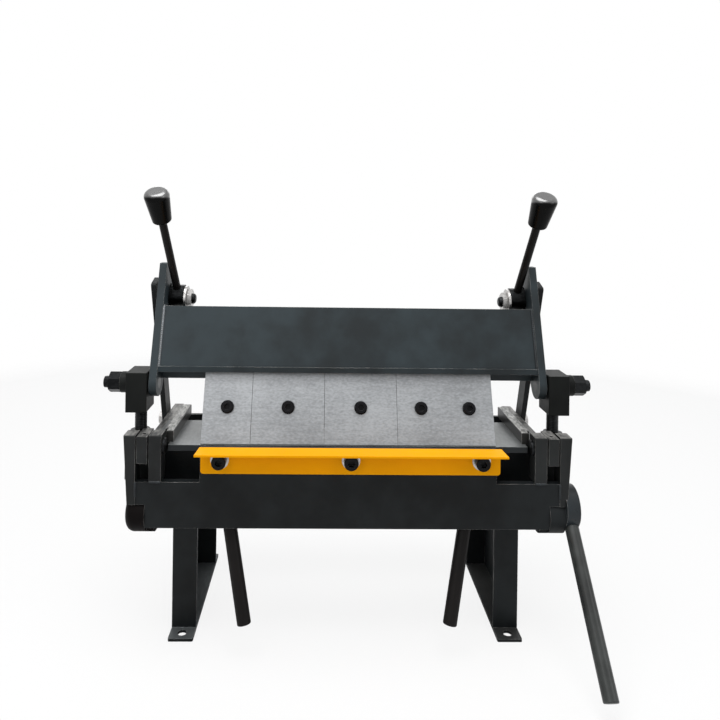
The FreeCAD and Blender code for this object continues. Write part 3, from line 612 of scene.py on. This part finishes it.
# %% Floor
floor_half = 3.0
floor_squares = 24
floor_mesh = bpy.data.meshes.new("floor")
form = bmesh.new()
bmesh.ops.create_grid(form, x_segments=floor_squares, y_segments=floor_squares, size=floor_half)
form.to_mesh(floor_mesh)
form.free()
floor = bpy.data.objects.new("floor", floor_mesh)
floor.location = (0, 0, -0.4 * mm)
scene.collection.objects.link(floor)
print("points of the floor:", len(floor_mesh.vertices))

# %% Paper on the floor
solid_within = 0.45
clear_beyond = 1.5
see_through = 0.86
grain_depth = 0.05 * mm
paper = Finish("paper", roughness=0.9)
grain = paper.noise(60)
paper.give(Base_Color=paper.mix(grain, grey(0.78), grey(0.82)), Roughness=0.88 + grain * 0.06)
paper.bump(grain, grain_depth, rounding=1.0 * mm)
away = paper.node("ShaderNodeVectorMath", {"operation": "LENGTH"}, {0: paper.place})
fade = Value(paper, away.outputs["Value"]).between(solid_within, clear_beyond)
seen_by_camera = Value(paper, paper.node("ShaderNodeLightPath", {}, {}).outputs["Is Camera Ray"])
clear = paper.node("ShaderNodeBsdfTransparent", {}, {})
blend = paper.node("ShaderNodeMixShader", {}, {0: fade.largest(seen_by_camera * see_through),
                                               1: paper.shader.outputs[0], 2: clear.outputs[0]})
paper.put(blend.outputs[0], paper.tree.nodes["Material Output"].inputs["Surface"])
floor.data.materials.append(paper.material)
print("nodes of the paper:", len(paper.tree.nodes))

# %% [markdown]
# One plain white sky would light the machine from all sides and flatten it. The sky is split by
# the kind of ray instead: rays from the camera and from shiny surfaces see plain white, and all
# others get a dim, slightly blue light.

# %% Sky
dim_blue = (0.95, 0.97, 1.0, 1)
dim_strength = 0.30
world = bpy.data.worlds.new("studio")
world.use_nodes = True
scene.world = world
sky = Nodes(world.node_tree)
ray = sky.node("ShaderNodeLightPath", {}, {}).outputs
seen, shiny, through = (Value(sky, ray[kind]) for kind in ("Is Camera Ray", "Is Glossy Ray",
                                                           "Is Transmission Ray"))
white = sky.node("ShaderNodeBackground", {}, {"Color": (1, 1, 1, 1), "Strength": 1.0})
dim = sky.tree.nodes["Background"]
sky.put(dim_blue, dim.inputs["Color"])
sky.put(dim_strength, dim.inputs["Strength"])
choice = sky.node("ShaderNodeMixShader", {}, {0: seen.largest(shiny).largest(through),
                                              1: dim.outputs[0], 2: white.outputs[0]})
sky.put(choice.outputs[0], sky.tree.nodes["World Output"].inputs["Surface"])
print("nodes of the sky:", len(sky.tree.nodes))

# %% [markdown]
# Four soft lamps light the machine: a strong one above, a weaker one in front, one from the right
# and one behind that draws the upper edges. Small lamps would throw hard shadows, and wide ones give
# the soft shadows of the photo.

# %% Lamps
aim = Vector((0, 0, 0.2))


def lamp(name, place, size, watts):
    data = bpy.data.lights.new(name, "AREA")
    data.shape = "RECTANGLE"
    data.size, data.size_y = size
    data.energy = watts
    made = bpy.data.objects.new(name, data)
    made.location = place
    made.rotation_euler = (aim - Vector(place)).to_track_quat("-Z", "Y").to_euler()
    scene.collection.objects.link(made)
    return made


lamps = [
    lamp("top", (-0.1, -0.35, 1.5), size=(1.2, 0.9), watts=22),
    lamp("front_left", (-0.9, -1.5, 1.1), size=(0.9, 0.9), watts=5),
    lamp("right", (1.4, -0.9, 0.9), size=(0.7, 0.9), watts=4),
    lamp("behind", (0, 1.3, 1.1), size=(1.4, 0.6), watts=5),
]
print("lamps:", [light.name for light in lamps])

# %% [markdown]
# ## Colour
# Blender's usual view transform bends bright and dark tones, as film does. The standard one shows
# each colour as it is written, so the white paper and the dark paint keep their values.

# %% View transform
scene.view_settings.view_transform = "Standard"
print("view transform:", scene.view_settings.view_transform)
